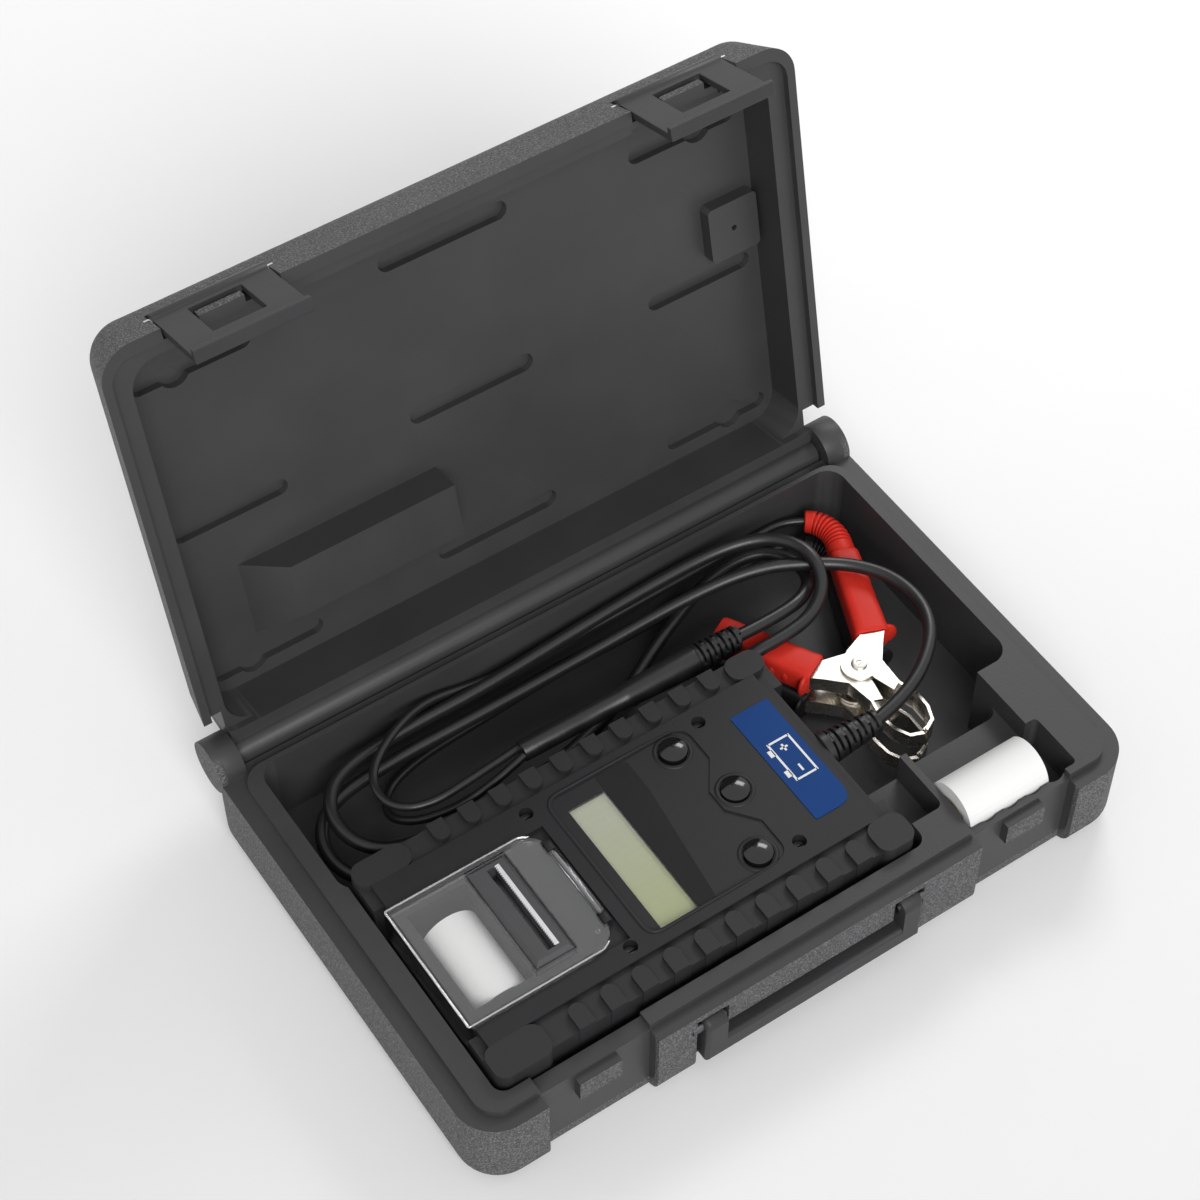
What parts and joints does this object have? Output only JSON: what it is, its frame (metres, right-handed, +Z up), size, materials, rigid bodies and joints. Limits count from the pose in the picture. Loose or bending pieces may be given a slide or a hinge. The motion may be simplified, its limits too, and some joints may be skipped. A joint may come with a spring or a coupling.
{
  "type": "battery tester kit",
  "caption": "Handheld battery tester with printer, display and keys, its clamp leads and a spare paper roll, in an open moulded carrying case with hinged lid, latches and handle.",
  "frame": {"origin": "centre of the case's underside", "axes": "+X along the hinge, left to right seen from the latch side; +Y from the latch side to the hinge; +Z up"},
  "size_m": [0.3, 0.2666, 0.2397],
  "materials": {
    "case": "charcoal blow-moulded plastic, semi-matte inside, fine grain outside",
    "latch": "charcoal semi-matte plastic",
    "handle": "charcoal plastic, fine grain",
    "steel": "plain bright steel",
    "housing": "near-black matte plastic",
    "grip": "black soft-touch rubber",
    "screw": "blackened steel",
    "clear": "clear plastic",
    "display": "grey-green display glass in a dark frame",
    "board": "green solder mask",
    "label": "plain blue film",
    "printer": "dark grey plastic",
    "head": "plain metal with ceramic strip",
    "motor": "zinc-plated can",
    "roller": "black rubber on a steel shaft",
    "gear": "natural nylon",
    "paper": "white thermal paper",
    "core": "grey plastic tube",
    "cable": "black semi-gloss PVC",
    "key": "glossy black",
    "nickel": "bright nickel plate",
    "red_vinyl": "red vinyl",
    "black_vinyl": "black vinyl"
  },
  "bodies": {
    "base": {"case_base": "case", "hinge_pins": "steel", "handle_pins": "screw", "tester_lower_shell": "housing", "tester_upper_shell": "housing", "grip_rail_front": "grip", "grip_rail_back": "grip", "body_screws": "screw", "display_window": "clear", "lcd_module": "display", "main_board": "board", "dome_switches": "steel", "label_plate": "label", "printer_frame": "printer", "tear_bar": "steel", "print_head": "head", "printer_motor": "motor", "cover_pin": "steel", "strain_relief": "cable", "lead_junction": "cable", "main_cable": "cable", "red_lead": "cable", "black_lead": "cable", "red_fixed_lever": "nickel", "red_fixed_sleeve": "red_vinyl", "red_rivet": "nickel", "red_spring": "steel", "red_boot": "red_vinyl", "black_fixed_lever": "nickel", "black_fixed_sleeve": "black_vinyl", "black_rivet": "nickel", "black_spring": "steel", "black_boot": "black_vinyl"},
    "lid": {"lid": "case", "latch_pins": "steel"},
    "latch_left": {"latch_left": "latch"},
    "latch_right": {"latch_right": "latch"},
    "handle": {"carry_handle": "handle"},
    "button_back": {"button_back": "key"},
    "button_middle": {"button_middle": "key"},
    "button_front": {"button_front": "key"},
    "cover": {"printer_cover": "clear"},
    "platen": {"platen_roller": "roller", "platen_gear": "gear"},
    "pinion": {"motor_pinion": "gear"},
    "paper": {"paper_roll": "paper", "paper_core": "core"},
    "red_jaw": {"red_moving_lever": "nickel", "red_moving_sleeve": "red_vinyl"},
    "black_jaw": {"black_moving_lever": "nickel", "black_moving_sleeve": "black_vinyl"},
    "spare": {"spare_roll": "paper", "spare_core": "core"}
  },
  "joints": [
    {"name": "lid_hinge", "type": "hinge", "parent": "base", "child": "lid", "pos_m": [0, 0.095, 0.04], "axis": [-1, 0, 0], "range_deg": [-102.45, 0]},
    {"name": "latch_left_hinge", "type": "hinge", "parent": "lid", "child": "latch_left", "pos_m": [-0.0975, 0.14655, 0.22473], "axis": [-1, 0, 0], "range_deg": [-4.5, 80]},
    {"name": "latch_right_hinge", "type": "hinge", "parent": "lid", "child": "latch_right", "pos_m": [0.0975, 0.14655, 0.22473], "axis": [-1, 0, 0], "range_deg": [-4.5, 80]},
    {"name": "handle_hinge", "type": "hinge", "parent": "base", "child": "handle", "pos_m": [-0.005, -0.099, 0.031], "axis": [-1, 0, 0], "range_deg": [0, 100]},
    {"name": "button_back_press", "type": "slide", "parent": "base", "child": "button_back", "axis": [0, 0, -1], "range_m": [0, 0.0008], "stiffness_N_per_m": 600},
    {"name": "button_middle_press", "type": "slide", "parent": "base", "child": "button_middle", "axis": [0, 0, -1], "range_m": [0, 0.0008], "stiffness_N_per_m": 600},
    {"name": "button_front_press", "type": "slide", "parent": "base", "child": "button_front", "axis": [0, 0, -1], "range_m": [0, 0.0008], "stiffness_N_per_m": 600},
    {"name": "cover_hinge", "type": "hinge", "parent": "base", "child": "cover", "pos_m": [-0.064, -0.03, 0.0482], "axis": [0, 1, 0], "range_deg": [0, 95]},
    {"name": "platen_spin", "type": "hinge", "parent": "base", "child": "platen", "pos_m": [-0.0923, -0.03, 0.036], "axis": [0, 1, 0], "continuous": true},
    {"name": "pinion_spin", "type": "hinge", "parent": "base", "child": "pinion", "pos_m": [-0.088, -0.005, 0.02832], "axis": [0, 1, 0], "continuous": true},
    {"name": "paper_spin", "type": "hinge", "parent": "base", "child": "paper", "pos_m": [-0.1107, -0.035, 0.033], "axis": [0, 1, 0], "continuous": true},
    {"name": "red_clamp_squeeze", "type": "hinge", "parent": "base", "child": "red_jaw", "pos_m": [0.0918, -0.0005, 0.0264], "axis": [0, 0, -1], "range_deg": [0, 30], "stiffness_Nm_per_rad": 0.8, "springref_deg": -17.19},
    {"name": "black_clamp_squeeze", "type": "hinge", "parent": "base", "child": "black_jaw", "pos_m": [0.09, -0.0015, 0.01275], "axis": [0, 0, -1], "range_deg": [0, 30], "stiffness_Nm_per_rad": 0.8, "springref_deg": -17.19},
    {"name": "spare_roll_lift", "type": "slide", "parent": "base", "child": "spare", "axis": [0, 0, 1], "range_m": [0, 0.06]}
  ],
  "couplings": [
    {"joint": "platen_spin", "follows": "paper_spin", "ratio": 3.075},
    {"joint": "pinion_spin", "follows": "paper_spin", "ratio": -7.38}
  ]
}
